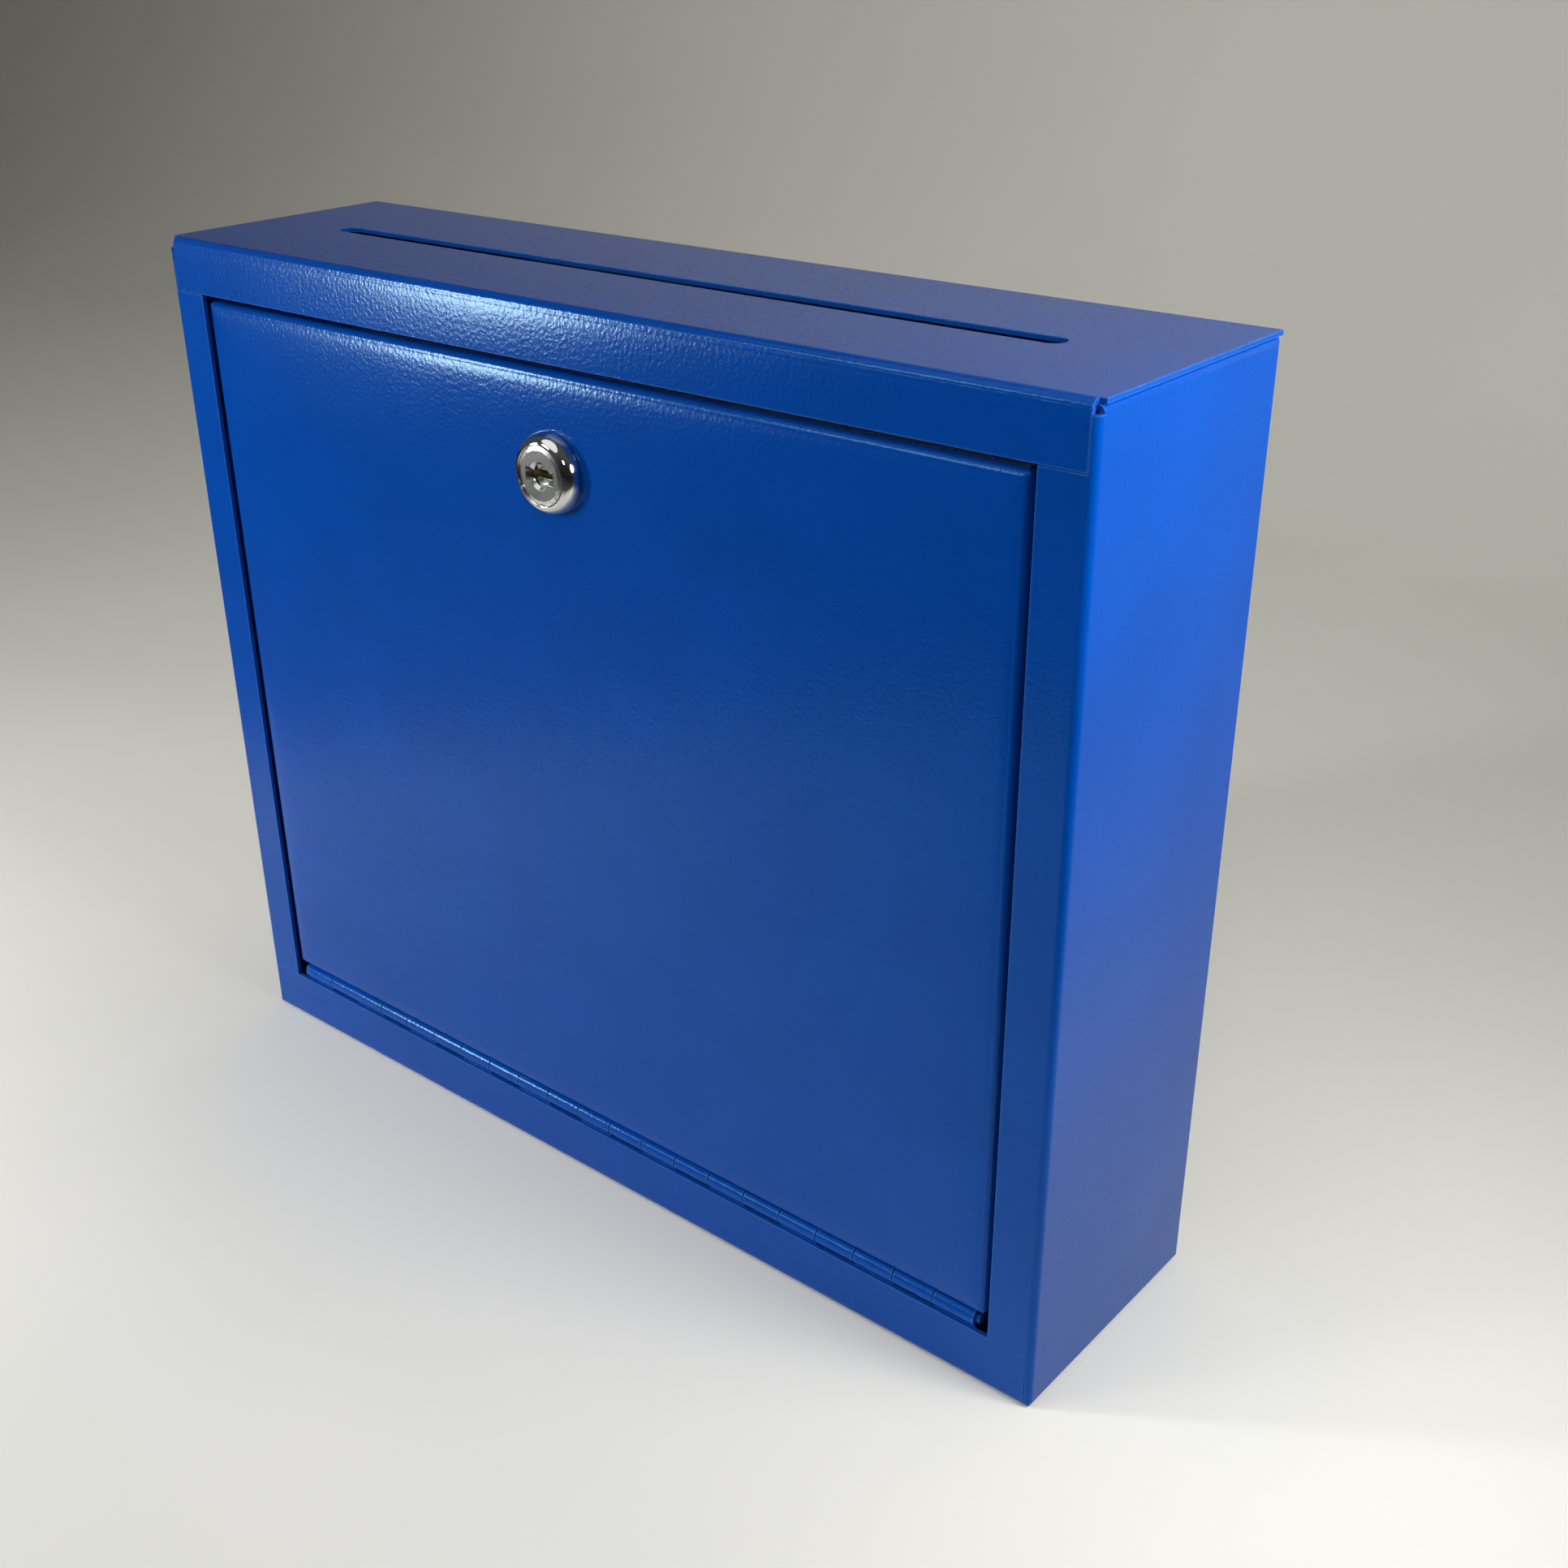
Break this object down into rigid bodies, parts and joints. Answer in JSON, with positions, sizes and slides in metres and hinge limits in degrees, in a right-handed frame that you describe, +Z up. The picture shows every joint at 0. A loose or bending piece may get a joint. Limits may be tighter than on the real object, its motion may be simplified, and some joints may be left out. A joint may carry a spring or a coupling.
{
  "type": "donation box",
  "caption": "Shallow upright sheet-metal collection box with a long slot in its top, a drop-down front door on a continuous hinge, and a cam lock.",
  "frame": {"origin": "centre of the case's underside", "axes": "+X to the right of a person facing the door, the door faces -Y, +Z up through the slot"},
  "size_m": [0.302, 0.0804, 0.254],
  "materials": {
    "blue_paint": "semi-gloss powder coat with fine orange peel",
    "chrome": "polished chrome plate",
    "plated_steel": "zinc plated, satin",
    "brass": "stamped brass"
  },
  "bodies": {
    "case": {"shell": "blue_paint", "back_panel": "blue_paint", "top_cover": "blue_paint", "door_stops": "blue_paint", "latch_strike": "blue_paint", "hinge_case_leaf": "blue_paint", "hinge_pin": "plated_steel"},
    "door": {"door_panel": "blue_paint", "hinge_door_leaf": "blue_paint", "lock_housing": "chrome", "lock_washer": "plated_steel", "lock_nut": "plated_steel"},
    "key_cylinder": {"lock_plug": "chrome", "lock_wafers": "brass", "wafer_springs": "plated_steel", "stop_washer": "plated_steel", "cam": "plated_steel", "cam_washer": "plated_steel", "cam_screw": "plated_steel"}
  },
  "joints": [
    {"name": "door_hinge", "type": "hinge", "parent": "case", "child": "door", "pos_m": [0, -0.0355, 0.0186], "axis": [1, 0, 0], "range_deg": [0, 93]},
    {"name": "lock_turn", "type": "hinge", "parent": "door", "child": "key_cylinder", "pos_m": [0, -0.038, 0.213], "axis": [0, -1, 0], "range_deg": [0, 90]}
  ]
}
